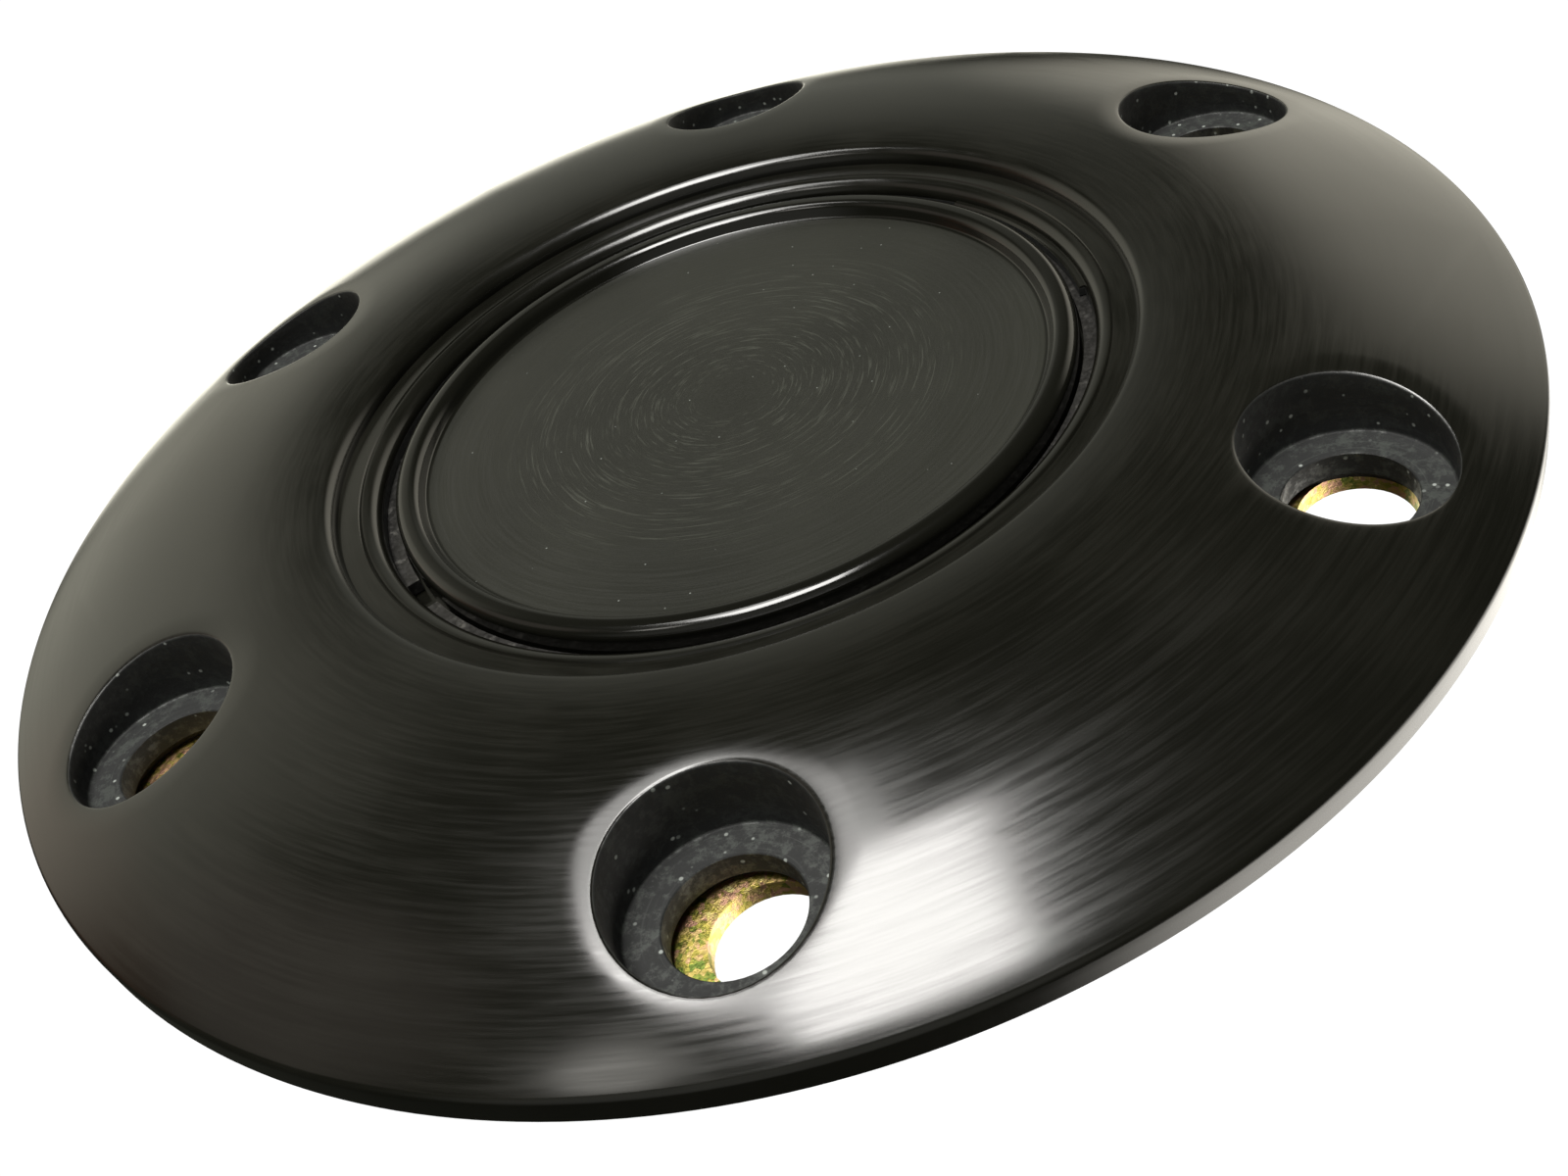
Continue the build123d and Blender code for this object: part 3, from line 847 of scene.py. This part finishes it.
print("plate screws")
plateScrew = {
    "count": 3, "circle": 28.6, "head": 2.35, "edge": 0.04, "edgeRound": 0.1, "neck": 1.3, "neckZ": 1.0,
    "shank": 1.2, "thread": 1.05, "runout": 0.15, "firstThread": 0.3, "threadRise": 0.18,
    "pitch": 0.5, "tip": 5.0, "tipTaper": 0.25,
    "crossLength": 2.6, "crossWidth": 0.55, "crossDepth": 0.5,
}


def makePlateScrews(sizes, material):
    head, edge, neckZ, root = sizes["head"], sizes["edge"], sizes["neckZ"], sizes["thread"]
    slope = (head - sizes["neck"]) / neckZ
    profile = [(0, 0), (head - sizes["edgeRound"], 0), (head - edge * slope - 0.01, edge)]
    profile += [(sizes["neck"], neckZ), (root, neckZ + sizes["runout"])]
    height, rise = neckZ + sizes["firstThread"], sizes["threadRise"]
    while height < sizes["tip"] - sizes["pitch"]:
        profile += [(root, height), (sizes["shank"], height + rise), (root, height + 2 * rise)]
        height += sizes["pitch"]
    profile += [(root - sizes["tipTaper"], sizes["tip"]), (0, sizes["tip"])]
    screw = turnedShape("plateScrew", profile, 40)
    long, wide, deep = sizes["crossLength"] / 2, sizes["crossWidth"] / 2, sizes["crossDepth"]
    arms = [(long, wide), (wide, long)]
    cut(screw, [block("cross", (-x, -y, -1), (x, y, deep)) for x, y in arms])
    group = repeatRound("threeScrews", material)
    values = {"Count": sizes["count"], "Circle Radius": sizes["circle"] * mm, "First Angle": 0.0}
    screws = baked(screw, group.tree, values)
    screws.name = "plateScrewSet"
    return smoothed(dressed(outward(screws), material), 32)


screwPiece = makePlateScrews(plateScrew, finishes["screw_steel"])
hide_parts("plate_screws")
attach(screwPiece, "housing")

print("stage")
# place in millimetres, lens and film width too
camera = {
    "place": (17.49, -77.16, 55.21),
    "right": (0.97049, -0.06435, -0.23239),
    "forward": (-0.11652, 0.71861, -0.68558),
    "lens": 37.27,
    "film": 36,
    "shift": (-0.0827, 0.0479),
    "clip": (0.004, 20),
}
stageFloor = {"side": 3.0, "glow": 1.1}


def addCamera():
    data = bpy.data.cameras.new("camera")
    data.sensor_width = camera["film"]
    data.lens = camera["lens"]
    data.shift_x, data.shift_y = camera["shift"]
    data.clip_start, data.clip_end = camera["clip"]
    obj = bpy.data.objects.new("camera", data)
    bpy.context.scene.collection.objects.link(obj)
    right = Vector(camera["right"]).normalized()
    back = -Vector(camera["forward"]).normalized()
    up = back.cross(right).normalized()
    right = up.cross(back)
    turn = Matrix((right, up, back)).transposed().to_4x4()
    obj.matrix_world = Matrix.Translation(Vector(camera["place"]) * mm) @ turn
    bpy.context.scene.camera = obj


def addFloor():
    low = min(corner[2] for corner in cadBox)
    mesh = bpy.data.meshes.new("floor")
    side = stageFloor["side"]
    corners = [(-side, -side, low), (side, -side, low), (side, side, low), (-side, side, low)]
    mesh.from_pydata(corners, [], [(0, 1, 2, 3)])
    floor = bpy.data.objects.new("floor", mesh)
    bpy.context.scene.collection.objects.link(floor)
    material = bpy.data.materials.new("paleFloor")
    material.use_nodes = True
    material.node_tree.nodes.clear()
    blank = Wire(material.node_tree)
    white = {"Color": colour(1, 1, 1), "Strength": stageFloor["glow"]}
    glow = blank.node("ShaderNodeEmission", None, white)
    under = blank.node("ShaderNodeNewGeometry", None, None, "Backfacing")
    clear = blank.node("ShaderNodeBsdfTransparent")
    shown = blank.node("ShaderNodeMixShader", None, {0: under, 1: glow, 2: clear})
    blank.node("ShaderNodeOutputMaterial", None, {"Surface": shown})
    mesh.materials.append(material)
    floor.visible_glossy = False
    floor.visible_diffuse = False
    floor.visible_shadow = False


# soft patches of the studio: azimuth, elevation and half width in degrees, colour, strength
patches = {
    "farRight": (58, 7, 32, (1.0, 0.95, 0.80), 1.3),
    "farMiddle": (100, 14, 25, (1.0, 1.0, 0.86), 0.3),
    "farLeft": (140, 15, 33, (1.0, 0.97, 0.80), 0.72),
    "farFloor": (110, -26, 26, (1.0, 0.97, 0.82), 2.4),
    "leftWall": (178, 40, 20, (1.0, 0.86, 0.76), 0.35),
    "leftLow": (165, 10, 22, (1.0, 0.25, 0.12), 0.1),
    "sideLamp": (-142, 57, 7, (1.0, 0.97, 0.9), 5.0),
    "rightFloor": (8, -46, 46, (1.0, 0.96, 0.88), 3.4),
    "frontFill": (-100, 15, 50, (1.0, 1.0, 0.93), 0.3),
}
ambient = (0.030, 0.031, 0.024)
# overhead panels: centre and size in metres, turn in degrees, radiance
panels = {
    "ceilingPanel": ((-0.045, -0.16, 1.0), (0.40, 0.56), 16, 25),
    "ceilingTail": ((-0.17, 0.15, 1.0), (0.26, 0.60), 18, 8),
}


def addWorld():
    world = bpy.data.worlds.new("studio")
    bpy.context.scene.world = world
    world.use_nodes = True
    world.node_tree.nodes.clear()
    blank = Wire(world.node_tree)
    way = blank.node("ShaderNodeTexCoord", None, None, "Generated")
    glow = ambient
    for azimuth, elevation, halfWidth, tint, strength in patches.values():
        a, e = math.radians(azimuth), math.radians(elevation)
        centre = (math.cos(a) * math.cos(e), math.sin(a) * math.cos(e), math.sin(e))
        both = {0: way, 1: centre}
        near = way.node("ShaderNodeVectorMath", {"operation": "DOT_PRODUCT"}, both, "Value")
        outer, inner = math.radians(halfWidth), math.radians(halfWidth * 0.4)
        amount = near.step(math.cos(outer), math.cos(inner))
        lit = amount.blend(colour(0, 0, 0), colour(*[part * strength for part in tint]))
        glow = way.node("ShaderNodeVectorMath", {"operation": "ADD"}, {0: glow, 1: lit})
    seen = blank.node("ShaderNodeLightPath", None, None, "Is Camera Ray")
    glow = seen.blend(glow, colour(1, 1, 1))
    back = glow.node("ShaderNodeBackground", None, {"Color": glow, "Strength": 1.0})
    back.node("ShaderNodeOutputWorld", None, {"Surface": back})


def addPanel(name, centre, size, turn, radiance):
    data = bpy.data.lights.new(name, "AREA")
    data.shape = "RECTANGLE"
    data.size, data.size_y = size
    data.energy = math.pi * size[0] * size[1] * radiance
    data.color = (1, 0.985, 0.95)
    obj = bpy.data.objects.new(name, data)
    bpy.context.scene.collection.objects.link(obj)
    obj.matrix_world = Matrix.Translation(centre) @ Matrix.Rotation(math.radians(turn), 4, "Z")
    obj.visible_camera = False


addCamera()
addWorld()
addFloor()
for name, values in panels.items():
    addPanel(name, *values)
bpy.context.scene.view_settings.view_transform = "Standard"
